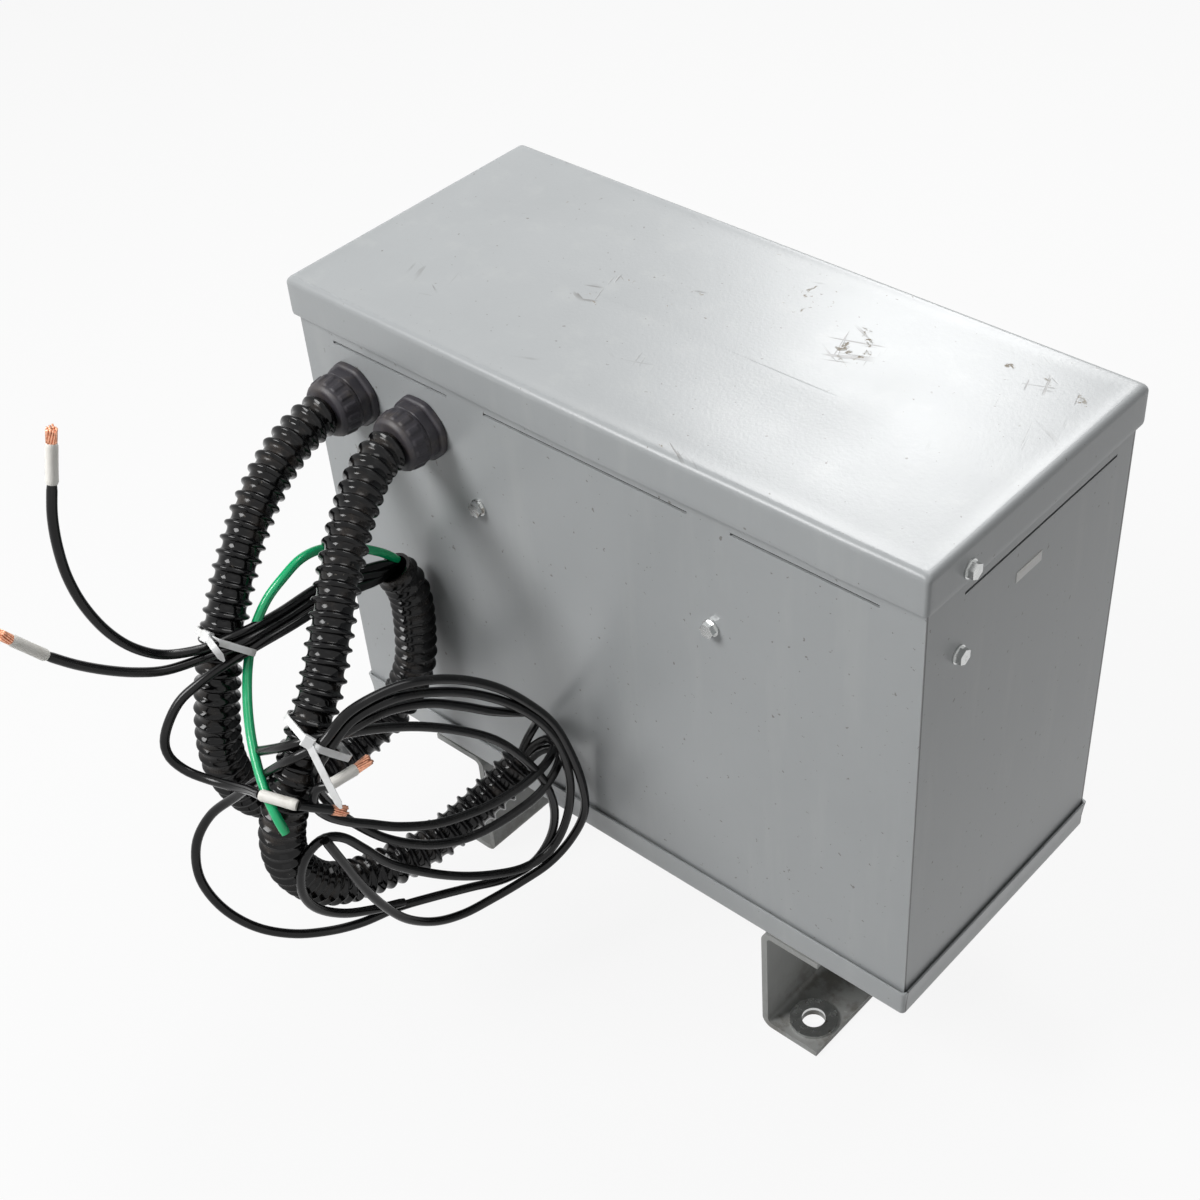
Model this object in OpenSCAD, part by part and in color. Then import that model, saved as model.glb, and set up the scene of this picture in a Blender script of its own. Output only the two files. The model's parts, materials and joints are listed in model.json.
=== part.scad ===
// Step-down transformer in a free-standing sheet-steel case.
// Millimetres, +Z up. The origin is on the floor, under the middle of the case.
// +X runs along the long front, and the front wall with its two conduits faces -Y.

/* [Case] */
// Length of the case walls along the front
case_w = 510; // [480:5:560]
// Depth of the case walls, front to back
case_d = 220; // [200:5:260]
// Height of the case, from under the tray to the top of the lid
case_h = 381; // [360:1:420]
// Thickness of the case's sheet steel
sheet = 1.5; // [1.2:0.1:2]

/* [Lid and tray] */
// Depth of the lid's skirt
skirt_h = 28; // [24:1:36]
// How far the lid's skirt stands out past the end walls
lid_over_x = 3.5; // [2.5:0.5:6]
// How far the lid's skirt stands out past the front and back walls
lid_over_y = 4.5; // [2.5:0.5:6]
// Radius of the lid's rolled top edges
lid_roll = 5; // [3:1:10]
// Height of the tray's upturned lip
tray_lip_h = 24; // [18:1:30]
// Height of the thin vent slits under the lid
slit_h = 2; // [1.2:0.1:2.5]

/* [Feet] */
// Height of the channel feet
foot_h = 104; // [90:1:120]
// Width of the feet's flanges
foot_w = 49; // [46:1:60]
// Thickness of the feet's plate
foot_t = 5; // [4:0.5:6]
// Distance from the case's end to the outer face of a foot's web
foot_inset = 119; // [110:1:125]
// Diameter of the mounting holes in the feet
hole_d = 17.5; // [14:0.5:18]

/* [Conduits] */
// Outer diameter of the corrugated conduits, over the ridges
conduit_d = 31; // [29:0.5:34]
// Outer diameter of the insulated wires
wire_dia = 6.5; // [5:0.5:7]

/* [Hidden] */

$fn = 64;
eps = 0.01;

// Levels and outlines worked out from the sizes above
tray_z = foot_h;
top_z = foot_h + case_h;
skirt_z = top_z - skirt_h;
wall_z = tray_z + sheet;
wall_top_z = top_z - sheet;
front_y = -case_d / 2;
right_x = case_w / 2;

// Feet: bend radii, and the places of the holes
foot_bend = 9;
foot_web_x = right_x - foot_inset;
hole_x = foot_web_x + foot_t + 25;
hole_y = case_d / 2 - 20.5;
washer_d = 35;
washer_t = 2.6;

// Vent slits: their level, and [start, end] along each wall from the left or the front corner
slit_z = tray_z + 340;
front_slits = [[31, 138], [171, 339], [372, 479]];
side_slits = [[38, 200]];

// Case screws: hex washer heads
head_af = 9.5;
head_h = 5.5;
head_flange_d = 12.5;
head_flange_t = 1.2;
front_bolt_x = 100;
front_bolt_z = tray_z + 260;
side_bolt_y = front_y + 35;
side_bolt_z = tray_z + 298;
lid_bolt_z = top_z - 18;

// Conduit connectors: [distance from the wall, radius] of each piece's outline
gland_z = tray_z + 306;
gland_x = [-210, -145];
collar_profile = [[0, 0], [0, 22.5], [3.5, 22.5], [5, 21.5], [5, 0]];
body_profile = [[5, 0], [5, 20.5], [13, 20.5], [13, 0]];
nut_profile = [[13, 0], [13, 21], [24, 19.5], [28, 17.5], [29, 16.5], [29, 0]];

// Core and coils: one closed block on the tray
core_size = [380, 150, 290];

// Routes of the conduits and wires: points on the centreline, from the exit to the free end
conduit_1_route = [
    [-210, -139, 410], [-209, -160, 408], [-204, -190, 399], [-196, -220, 383], [-188, -245, 363],
    [-181, -267, 338], [-176, -285, 309], [-174, -298, 273], [-175, -302, 240], [-177, -297, 210],
    [-183, -280, 174], [-190, -252, 149], [-193, -228, 141], [-193, -205, 140], [-190, -181, 145],
    [-183, -158, 158], [-175, -142, 178], [-169, -132, 204], [-168, -128, 231], [-166, -128, 255],
    [-166, -130, 275], [-169, -137, 295]
];
conduit_2_route = [
    [-145, -139, 410], [-142, -158, 408], [-133, -180, 401], [-121, -205, 388], [-108, -228, 373],
    [-95, -251, 353], [-86, -270, 333], [-81, -290, 311], [-80, -307, 286], [-84, -320, 260],
    [-88, -326, 232], [-92, -322, 200], [-95, -304, 165], [-95, -281, 145], [-93, -256, 135],
    [-89, -230, 130], [-83, -203, 132], [-77, -176, 140], [-71, -152, 151], [-66, -133, 163]
];
green_wire_route = [
    [-169, -132, 299], [-169, -145, 314], [-168, -170, 335], [-165, -195, 351], [-162, -215, 357],
    [-161, -232, 353], [-163, -247, 343], [-163, -262, 327], [-156, -277, 311], [-141, -293, 301],
    [-123, -308, 292], [-105, -320, 283], [-88, -329, 276], [-77, -333, 267], [-69, -334, 256]
];
wire_a_route = [
    [-169, -135, 297], [-168, -150, 306], [-168, -174, 314], [-165, -205, 324], [-163, -239, 327],
    [-162, -264, 331], [-166, -283, 332], [-166, -302, 337], [-172, -324, 345], [-175, -341, 361],
    [-178, -353, 381], [-181, -361, 405], [-184, -364, 428], [-186, -363, 450], [-188, -359, 470],
    [-190, -352, 488]
];
wire_b_route = [
    [-170, -138, 294], [-167, -149, 299], [-165, -164, 307], [-163, -180, 313], [-160, -212, 321],
    [-159, -240, 323], [-158, -267, 327], [-162, -285, 327], [-165, -305, 331], [-170, -327, 335],
    [-174, -345, 344], [-178, -362, 356], [-182, -378, 370], [-186, -392, 385]
];
wire_c_route = [
    [-170, -141, 292], [-164, -158, 299], [-157, -183, 311], [-153, -215, 319], [-152, -243, 322],
    [-155, -268, 322], [-162, -287, 317], [-169, -307, 310], [-175, -323, 300], [-175, -338, 284],
    [-172, -342, 270], [-163, -338, 258], [-147, -331, 253], [-128, -327, 256], [-108, -328, 266],
    [-87, -334, 280]
];
wire_d_route = [
    [-66, -133, 163], [-61, -124, 175], [-50, -119, 185], [-38, -125, 189], [-33, -142, 186],
    [-35, -164, 182], [-40, -188, 181], [-45, -211, 185], [-50, -233, 192], [-56, -257, 206],
    [-60, -276, 222], [-61, -290, 235], [-62, -304, 251], [-62, -312, 266], [-60, -314, 278],
    [-57, -311, 286], [-51, -307, 289]
];
wire_e_route = [
    [-68, -133, 165], [-66, -124, 180], [-58, -120, 198], [-47, -125, 216], [-40, -138, 232],
    [-37, -158, 248], [-37, -180, 266], [-41, -201, 284], [-47, -224, 300], [-53, -251, 310],
    [-55, -278, 314], [-60, -298, 313], [-73, -315, 305], [-102, -320, 276], [-129, -326, 246],
    [-148, -338, 225], [-152, -352, 206], [-146, -360, 183], [-134, -357, 159], [-120, -345, 138],
    [-106, -327, 124], [-94, -306, 116], [-81, -286, 116], [-70, -262, 118], [-63, -237, 111],
    [-56, -206, 99], [-49, -179, 89], [-42, -156, 91], [-37, -141, 108], [-34, -136, 134],
    [-34, -141, 166], [-36, -155, 200], [-39, -176, 234], [-43, -202, 261], [-50, -231, 283],
    [-56, -259, 299], [-61, -282, 309], [-66, -301, 316], [-85, -312, 306], [-118, -312, 282]
];
wire_f_route = [
    [-63, -133, 162], [-57, -123, 171], [-47, -117, 176], [-38, -121, 176], [-33, -133, 172],
    [-33, -148, 165], [-37, -163, 159], [-44, -188, 155], [-50, -213, 159], [-56, -238, 172],
    [-64, -262, 193], [-70, -281, 220], [-72, -294, 246], [-68, -304, 274], [-61, -306, 296],
    [-55, -297, 312], [-55, -275, 320], [-50, -247, 319], [-45, -220, 308], [-38, -193, 291],
    [-32, -166, 265], [-27, -144, 233], [-25, -131, 199], [-25, -126, 161], [-27, -132, 127],
    [-32, -146, 104], [-38, -167, 99], [-44, -192, 109], [-50, -218, 126], [-56, -243, 148],
    [-61, -267, 175], [-64, -283, 202], [-66, -295, 221], [-68, -308, 230], [-71, -320, 225],
    [-75, -327, 208], [-77, -328, 186], [-77, -320, 165], [-75, -302, 145], [-71, -280, 132],
    [-66, -258, 123]
];
wire_g_route = [
    [-60, -308, 310], [-55, -298, 321], [-55, -277, 328], [-51, -248, 327], [-45, -224, 321],
    [-39, -199, 307], [-33, -175, 286], [-29, -154, 259], [-25, -136, 228], [-22, -125, 192],
    [-20, -119, 157], [-21, -119, 128], [-26, -130, 106], [-32, -149, 92], [-39, -173, 87],
    [-45, -197, 86], [-50, -221, 88], [-54, -244, 98], [-57, -265, 118], [-59, -280, 144],
    [-60, -292, 173], [-60, -303, 207], [-61, -312, 236]
];

// Sleeves at the wire ends: [start, end] of each one's centreline
sleeve_dia = 8;
sleeve_ends = [
    [[-190, -352, 488], [-191, -344, 512]],
    [[-186, -392, 385], [-190, -408, 407]],
    [[-87, -334, 280], [-62, -325, 279]],
    [[-51, -307, 289], [-48, -286, 289]]
];

// Ends of the wires past their sleeves: [start, end] of each one's centreline
wire_c_tail = [[-62, -325, 279], [-56, -305, 262]];
bare_ends = [
    [[-191, -344, 512], [-191, -341, 521]],
    [[-190, -408, 407], [-192, -413, 414]],
    [[-56, -305, 262], [-54, -296, 255]],
    [[-48, -286, 289], [-46, -275, 291]]
];
bare_d = 5;

// Cable ties: [middle of the conduit, way along the bundle, way to its outer side], the bundle in the
// tie's plane as [outwards, sideways, radius] of each cord, and the head as [outwards, sideways, turn]
tie_1_place = [[-179, -277, 322], [8, -69, -72], [68, -49, 55]];
tie_1_bundle = [[0, 0, 16], [19, 1, 3.4], [16, -10, 3.4], [13, -19, 3.4], [7, -19, 3.4]];
tie_1_head = [17, 9, 50];
tie_2_place = [[-81, -291, 309], [13, 64, 62], [60, -62, 51]];
tie_2_bundle = [[0, 0, 16], [24, 3, 3.2], [26, 10, 3.4], [21, 17, 3.4], [12, 27, 3.2]];
tie_2_head = [29, 3.5, 5];
tie_w = 4.8;
tie_t = 1.3;

// Unit vector along v
function unit(v) = v / norm(v);

// Point at u (0 to 1) between b and c on the smooth curve through a, b, c and d
function between(a, b, c, d, u) =
    ((2 * b) + (c - a) * u + (2 * a - 5 * b + 4 * c - d) * u * u + (3 * b - a - 3 * c + d) * u * u * u) / 2;

// Smooth curve through the points of a route, with n steps from each point to the next
function smooth(route, n) = [
    for (i = [0 : len(route) - 2], k = [0 : n - 1])
        between(route[max(i - 1, 0)], route[i], route[i + 1], route[min(i + 2, len(route) - 1)], k / n),
    route[len(route) - 1]
];

// Direction of the path at point i
function heading(path, i) = unit(path[min(i + 1, len(path) - 1)] - path[max(i - 1, 0)]);

// Side vectors carried along the headings without twist
function carry(headings, side, i = 0) =
    i == len(headings) ? [] :
    let (s = unit(side - (side * headings[i]) * headings[i]))
    concat([s], carry(headings, s, i + 1));

// Round tube along a path: one ring of corners at each point, closed by flat ends
module tube(path, d, sides) {
    headings = [for (i = [0 : len(path) - 1]) heading(path, i)];
    across = carry(headings, abs(headings[0].z) < 0.9 ? [0, 0, 1] : [1, 0, 0]);
    corners = [
        for (i = [0 : len(path) - 1], k = [0 : sides - 1])
            path[i] + d / 2 * (cos(360 * k / sides) * across[i]
                + sin(360 * k / sides) * cross(headings[i], across[i]))
    ];
    last = (len(path) - 1) * sides;
    faces = concat(
        [[for (k = [0 : sides - 1]) k]],
        [[for (k = [sides - 1 : -1 : 0]) last + k]],
        [for (i = [0 : len(path) - 2], k = [0 : sides - 1])
            let (a = i * sides + k, b = i * sides + (k + 1) % sides)
            [b, a, a + sides, b + sides]]
    );
    polyhedron(corners, faces, convexity = 8);
}

// Outline of the lid seen along one axis: a box with two rolled top corners
module lid_outline(w, h, roll) {
    translate([-w / 2, 0]) square([w, h - roll]);
    translate([-w / 2 + roll, 0]) square([w - 2 * roll, h]);
    for (side = [-1, 1])
        translate([side * (w / 2 - roll), h - roll]) circle(r = roll);
}

// Closed block with all four top edges rolled
module lid_block(w, d, h, roll) {
    intersection() {
        rotate([90, 0, 0]) linear_extrude(d, center = true) lid_outline(w, h, roll);
        rotate([90, 0, 90]) linear_extrude(w, center = true) lid_outline(d, h, roll);
    }
}

// Shallow pressed cap whose skirt hangs over the walls
module lid() {
    w = case_w + 2 * lid_over_x;
    d = case_d + 2 * lid_over_y;
    color("lightgray")
    translate([0, 0, skirt_z])
    difference() {
        lid_block(w, d, skirt_h, lid_roll);
        translate([0, 0, -1])
            lid_block(w - 2 * sheet, d - 2 * sheet, skirt_h + 1 - sheet, lid_roll - sheet);
    }
}

// Flat wall panel along X, slit under the lid, standing with its outer face at y = 0
module long_wall(slits) {
    difference() {
        translate([-right_x, 0, wall_z]) cube([case_w, sheet, wall_top_z - wall_z]);
        for (s = slits)
            translate([s[0] - right_x, -1, slit_z]) cube([s[1] - s[0], sheet + 2, slit_h]);
    }
}

// Flat end panel between the long walls, slit under the lid
module end_wall(slits) {
    inner_d = case_d - 2 * sheet;
    difference() {
        translate([0, -inner_d / 2, wall_z]) cube([sheet, inner_d, wall_top_z - wall_z]);
        for (s = slits)
            translate([-1, front_y + s[0], slit_z]) cube([sheet + 2, s[1] - s[0], slit_h]);
    }
}

module front_wall() {
    color("silver") translate([0, front_y, 0]) long_wall(front_slits);
}

module back_wall() {
    color("silver") mirror([0, 1, 0]) translate([0, front_y, 0]) long_wall(front_slits);
}

module right_wall() {
    color("silver") translate([right_x - sheet, 0, 0]) end_wall(side_slits);
}

module left_wall() {
    color("silver") mirror([1, 0, 0]) translate([right_x - sheet, 0, 0]) end_wall(side_slits);
}

// Shallow tray with an upturned lip that holds the feet of the walls
module base_tray() {
    w = case_w + 2 * sheet;
    d = case_d + 2 * sheet;
    color("silver")
    difference() {
        translate([-w / 2, -d / 2, tray_z]) cube([w, d, tray_lip_h]);
        translate([-case_w / 2, -case_d / 2, wall_z]) cube([case_w, case_d, tray_lip_h]);
    }
}

// Section of a channel: the web stands at x = 0, and the flanges point to +X
module channel_section(w, h, t, bend) {
    difference() {
        union() {
            translate([0, bend]) square([w, h - 2 * bend]);
            translate([bend, 0]) square([w - bend, h]);
            for (z = [bend, h - bend]) translate([bend, z]) circle(r = bend);
        }
        translate([t, bend]) square([w, h - 2 * bend]);
        translate([bend, t]) square([w, h - 2 * t]);
        for (z = [bend, h - bend]) translate([bend, z]) circle(r = bend - t);
    }
}

// Bent channel under one end of the tray, drilled at its front and back
module foot() {
    length = case_d + 2 * sheet;
    difference() {
        translate([foot_web_x, length / 2, 0]) rotate([90, 0, 0])
            linear_extrude(length) channel_section(foot_w, foot_h, foot_t, foot_bend);
        for (y = [-hole_y, hole_y])
            translate([hole_x, y, -1]) cylinder(h = foot_t + 2, d = hole_d);
    }
}

module right_foot() {
    color("darkgray") foot();
}

module left_foot() {
    color("darkgray") mirror([1, 0, 0]) foot();
}

// Loose plain washers on the holes of the feet
module foot_washers() {
    color("lightsteelblue")
    for (x = [-hole_x, hole_x], y = [-hole_y, hole_y])
        translate([x, y, foot_t]) difference() {
            cylinder(h = washer_t, d = washer_d);
            translate([0, 0, -1]) cylinder(h = washer_t + 2, d = hole_d);
        }
}

// Hex washer head, standing on z = 0
module hex_head() {
    cylinder(h = head_flange_t, d = head_flange_d);
    translate([0, 0, head_flange_t - eps])
        cylinder(h = head_h - head_flange_t, d = head_af / cos(30), $fn = 6);
}

// Heads on the front wall
module front_heads() {
    for (x = [-front_bolt_x, front_bolt_x])
        translate([x, front_y, front_bolt_z]) rotate([90, 0, 0]) hex_head();
}

module front_bolts() {
    color("gainsboro") front_heads();
}

module back_bolts() {
    color("gainsboro") mirror([0, 1, 0]) front_heads();
}

module right_bolt() {
    color("gainsboro") translate([right_x, side_bolt_y, side_bolt_z]) rotate([0, 90, 0]) hex_head();
}

module left_bolt() {
    color("gainsboro") translate([-right_x, side_bolt_y, side_bolt_z]) rotate([0, -90, 0]) hex_head();
}

module right_lid_bolt() {
    color("gainsboro")
    translate([right_x + lid_over_x, side_bolt_y, lid_bolt_z]) rotate([0, 90, 0]) hex_head();
}

module left_lid_bolt() {
    color("gainsboro")
    translate([-right_x - lid_over_x, side_bolt_y, lid_bolt_z]) rotate([0, -90, 0]) hex_head();
}

// Small bare plate stuck on the right wall
module blank_plate() {
    color("white") translate([right_x, front_y + 93, tray_z + 312]) cube([0.4, 27, 7.5]);
}

// Core and coils set in their block, sealed inside the case
module core_block() {
    color("dimgray")
    translate([-core_size.x / 2, -core_size.y / 2, wall_z]) cube(core_size);
}

// Turned piece of a conduit connector, with its axis along -Y from the front wall
module turned(profile, x) {
    translate([x, front_y, gland_z]) rotate([90, 0, 0])
        rotate_extrude() polygon([for (p = profile) [p[1], p[0]]]);
}

module collar_1() { color("#46424a") turned(collar_profile, gland_x[0]); }
module collar_2() { color("#46424a") turned(collar_profile, gland_x[1]); }
module gland_body_1() { color("#46424a") turned(body_profile, gland_x[0]); }
module gland_body_2() { color("#46424a") turned(body_profile, gland_x[1]); }
module gland_nut_1() { color("#46424a") turned(nut_profile, gland_x[0]); }
module gland_nut_2() { color("#46424a") turned(nut_profile, gland_x[1]); }

module conduit_1() { color("#1c1c1e") tube(smooth(conduit_1_route, 2), conduit_d, 12); }
module conduit_2() { color("#1c1c1e") tube(smooth(conduit_2_route, 2), conduit_d, 12); }

// Insulated wires that leave the open ends of the conduits
module wire(route) { tube(smooth(route, 2), wire_dia, 8); }
module green_wire() { color("#0f9660") wire(green_wire_route); }
module wire_a() { color("#262628") wire(wire_a_route); }
module wire_b() { color("#262628") wire(wire_b_route); }
module wire_c() { color("#262628") wire(wire_c_route); }
module wire_d() { color("#262628") wire(wire_d_route); }
module wire_e() { color("#262628") wire(wire_e_route); }
module wire_f() { color("#262628") wire(wire_f_route); }
module wire_g() { color("#262628") wire(wire_g_route); }

// Round bar between two points
module bar(ends, d) {
    way = ends[1] - ends[0];
    translate(ends[0])
        rotate([0, acos(way.z / norm(way)), atan2(way.y, way.x)])
            cylinder(h = norm(way), d = d, $fn = 24);
}

module wire_sleeves() {
    color("ivory") for (e = sleeve_ends) bar(e, sleeve_dia);
}

module wire_c_end() { color("#262628") bar(wire_c_tail, wire_dia); }

module bare_copper() { color("#be6e50") for (e = bare_ends) bar(e, bare_d); }

// Cable tie around a conduit and the wires beside it, with its square head
module cable_tie(place, bundle, head) {
    along = unit(place[1]);
    out = unit(place[2] - (place[2] * along) * along);
    side = cross(along, out);
    multmatrix([
        [out.x, side.x, along.x, place[0].x],
        [out.y, side.y, along.y, place[0].y],
        [out.z, side.z, along.z, place[0].z],
        [0, 0, 0, 1]
    ]) {
        linear_extrude(tie_w, center = true) difference() {
            hull() for (c = bundle) translate([c[0], c[1]]) circle(r = c[2] + tie_t);
            hull() for (c = bundle) translate([c[0], c[1]]) circle(r = c[2]);
        }
        translate([head[0], head[1], 0]) rotate([0, 0, head[2]]) cube([5.5, 8, 8], center = true);
    }
}

module tie_1() { color("whitesmoke") cable_tie(tie_1_place, tie_1_bundle, tie_1_head); }
module tie_2() { color("whitesmoke") cable_tie(tie_2_place, tie_2_bundle, tie_2_head); }

lid();
front_wall();
back_wall();
left_wall();
right_wall();
base_tray();
left_foot();
right_foot();
foot_washers();
front_bolts();
back_bolts();
left_bolt();
right_bolt();
left_lid_bolt();
right_lid_bolt();
blank_plate();
core_block();
collar_1();
collar_2();
gland_body_1();
gland_body_2();
gland_nut_1();
gland_nut_2();
conduit_1();
conduit_2();
green_wire();
wire_a();
wire_b();
wire_c();
wire_c_end();
wire_d();
wire_e();
wire_f();
wire_g();
wire_sleeves();
bare_copper();
tie_1();
tie_2();
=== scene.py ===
"""Step-down transformer: the looks of a sheet-steel case with two corrugated conduits and their wires.

Metres, +Z up, in the frame of the CAD part: the floor is z = 0 and the front wall faces -Y.
"""
import json
import math

import bmesh
import bpy
import numpy as np
from mathutils import Matrix, Vector

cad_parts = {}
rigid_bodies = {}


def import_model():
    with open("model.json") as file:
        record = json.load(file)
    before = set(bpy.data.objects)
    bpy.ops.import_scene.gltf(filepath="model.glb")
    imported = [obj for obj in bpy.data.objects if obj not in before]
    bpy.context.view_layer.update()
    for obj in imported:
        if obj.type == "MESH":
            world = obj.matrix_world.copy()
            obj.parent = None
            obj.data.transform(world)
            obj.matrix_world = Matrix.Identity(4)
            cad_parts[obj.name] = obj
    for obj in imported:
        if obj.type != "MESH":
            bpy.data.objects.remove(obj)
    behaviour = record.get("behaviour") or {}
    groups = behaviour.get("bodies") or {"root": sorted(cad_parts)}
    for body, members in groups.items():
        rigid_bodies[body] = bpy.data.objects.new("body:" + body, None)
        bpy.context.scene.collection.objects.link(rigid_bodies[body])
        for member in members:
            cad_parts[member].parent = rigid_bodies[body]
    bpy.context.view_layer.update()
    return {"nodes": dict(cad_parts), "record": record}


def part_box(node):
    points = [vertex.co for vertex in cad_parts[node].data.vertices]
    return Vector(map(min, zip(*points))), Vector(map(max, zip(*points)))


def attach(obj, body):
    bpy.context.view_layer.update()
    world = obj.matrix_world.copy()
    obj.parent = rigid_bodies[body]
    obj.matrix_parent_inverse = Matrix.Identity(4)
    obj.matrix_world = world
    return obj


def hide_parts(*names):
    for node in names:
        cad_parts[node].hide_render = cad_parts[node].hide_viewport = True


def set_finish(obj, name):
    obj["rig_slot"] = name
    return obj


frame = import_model()
nodes = frame["nodes"]
scene = bpy.context.scene


# ---------------------------------------------------------------- camera
# A long lens looks down on the front and the right end, with a small shift for the framing.
camera = bpy.data.objects.new("camera", bpy.data.cameras.new("camera"))
scene.collection.objects.link(camera)
azimuth, elevation, roll = 0.7451, 0.7538, -0.0603
camera_place = (0.69307, -0.79441, 1.15467)
forward = Vector((-math.sin(azimuth) * math.cos(elevation),
                  math.cos(azimuth) * math.cos(elevation),
                  -math.sin(elevation)))
level_right = forward.cross(Vector((0, 0, 1))).normalized()
level_up = level_right.cross(forward)
right = math.cos(roll) * level_right + math.sin(roll) * level_up
up = -math.sin(roll) * level_right + math.cos(roll) * level_up
camera.matrix_world = Matrix((
    (right.x, up.x, -forward.x, camera_place[0]),
    (right.y, up.y, -forward.y, camera_place[1]),
    (right.z, up.z, -forward.z, camera_place[2]),
    (0, 0, 0, 1)))
camera.data.sensor_width = 36
camera.data.lens = 58.63
camera.data.shift_x = -0.0583
camera.data.shift_y = 0.0833
camera.data.clip_end = 20
scene.camera = camera


# ---------------------------------------------------------------- cords
# Two conduits of black nylon hang out of the front wall and turn back to it. Seven insulated wires leave
# their open ends, and an eighth starts in the coil.
# Each route is the CAD one, in metres, and a cord is a tube swept along the smooth curve through it.
def smooth(route, step):
    """Points about `step` apart on the curve through a route. Between b and c, with neighbours a and d:
    p(u) = (2b + (c - a)u + (2a - 5b + 4c - d)u^2 + (3b - a - 3c + d)u^3) / 2."""
    route = np.array(route)
    count = len(route)
    fine = []
    for i in range(count - 1):
        a, b, c, d = route[max(i - 1, 0)], route[i], route[i + 1], route[min(i + 2, count - 1)]
        for u in np.arange(12) / 12:
            fine.append((2 * b + (c - a) * u + (2 * a - 5 * b + 4 * c - d) * u ** 2
                         + (3 * b - a - 3 * c + d) * u ** 3) / 2)
    fine = np.array(fine + [route[-1]])
    along = np.concatenate(([0], np.cumsum(np.linalg.norm(np.diff(fine, axis=0), axis=1))))
    stations = np.linspace(0, along[-1], max(int(round(along[-1] / step)), 4) + 1)
    return np.stack([np.interp(stations, along, fine[:, k]) for k in range(3)], axis=1), stations


def side_vectors(path):
    """Two unit vectors across the path at each point, carried along it without twist."""
    heading = np.gradient(path, axis=0)
    heading /= np.linalg.norm(heading, axis=1)[:, None]
    side = np.cross(heading[0], (0, 0, 1) if abs(heading[0][2]) < 0.9 else (1, 0, 0))
    sides = []
    for h in heading:
        side = side - side.dot(h) * h
        side /= np.linalg.norm(side)
        sides.append(side)
    sides = np.array(sides)
    return sides, np.cross(heading, sides)


def grid_mesh(name, rings, close_start=True, close_end=True):
    """Closed bands of quads through rings of points, shape (rings, corners, 3), with optional end caps."""
    count, corners = rings.shape[:2]
    start = np.arange(count - 1)[:, None] * corners
    k = np.arange(corners)
    after = (k + 1) % corners
    quads = np.stack([start + k, start + after, start + corners + after, start + corners + k], axis=2)
    faces = quads.reshape(-1, 4).tolist()
    if close_start:
        faces.append(list(range(corners))[::-1])
    if close_end:
        faces.append(list(range((count - 1) * corners, count * corners)))
    mesh = bpy.data.meshes.new(name)
    mesh.from_pydata(rings.reshape(-1, 3).tolist(), [], faces)
    mesh.update()
    piece = bpy.data.objects.new(name, mesh)
    scene.collection.objects.link(piece)
    return piece


def set_attribute(piece, name, values):
    """One number for each corner point of a mesh, for its material to read."""
    attribute = piece.data.attributes.new(name, "FLOAT", "POINT")
    attribute.data.foreach_set("value", np.asarray(values, np.float32).ravel())


def outward(piece, sharp_degrees=180):
    """Turns the faces outwards and shades them smooth, but for edges sharper than the angle."""
    shape = bmesh.new()
    shape.from_mesh(piece.data)
    bmesh.ops.recalc_face_normals(shape, faces=shape.faces)
    shape.to_mesh(piece.data)
    shape.free()
    piece.data.shade_smooth()
    if sharp_degrees < 180:
        piece.data.set_sharp_from_angle(angle=math.radians(sharp_degrees))


ridge_radius = 0.0155
valley_radius = 0.0126
ridge_pitch = 0.0095
bore_radius = 0.0108
bore_steps = 48


def conduit(name, route):
    """Corrugated tube: radius = valley + (ridge - valley) * f(s), where f is a narrow ridge with steep
    flanks once a pitch. Its open end turns into a bore that runs 45 mm back inside."""
    path, along = smooth(route, ridge_pitch / 10)
    phase = (along / ridge_pitch) % 1
    from_ridge = np.abs(phase - 0.5) * 2
    ridge = np.clip((0.50 - from_ridge) / 0.40, 0, 1)
    ridge = ridge * ridge * (3 - 2 * ridge)
    valley_sag = 0.0003 * np.cos(from_ridge * math.pi)
    radius = valley_radius + (ridge_radius - valley_radius) * ridge + valley_sag * (1 - ridge)
    side, over = side_vectors(path)
    angle = np.linspace(0, 2 * math.pi, 40, endpoint=False)
    ring = np.cos(angle)[None, :, None] * side[:, None] + np.sin(angle)[None, :, None] * over[:, None]
    outer = path[:, None] + radius[:, None, None] * ring
    back = slice(len(path) - 1, len(path) - bore_steps, -2)
    inner = path[back, None] + bore_radius * ring[back]
    rings = np.concatenate([outer, inner])
    piece = grid_mesh(name + "_tube", rings)
    outward(piece, 60)
    depth = np.concatenate([ridge, -np.ones(len(inner))])
    set_attribute(piece, "ridge", np.repeat(depth, len(angle)))
    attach(piece, "root")
    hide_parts(name)
    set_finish(piece, "black_nylon")


wire_diameter = 0.0065


def wire(name, route, slot="black_pvc"):
    """Plain round insulated wire: one radius all along, and 88% of it at the first and last ring."""
    path, along = smooth(route, 0.004)
    side, over = side_vectors(path)
    angle = np.linspace(0, 2 * math.pi, 16, endpoint=False)
    ring = np.cos(angle)[None, :, None] * side[:, None] + np.sin(angle)[None, :, None] * over[:, None]
    radius = np.full(len(path), wire_diameter / 2)
    radius[0] = radius[-1] = wire_diameter * 0.44
    piece = grid_mesh(name + "_tube", path[:, None] + radius[:, None, None] * ring)
    outward(piece, 70)
    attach(piece, "root")
    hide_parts(name)
    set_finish(piece, slot)


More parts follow.
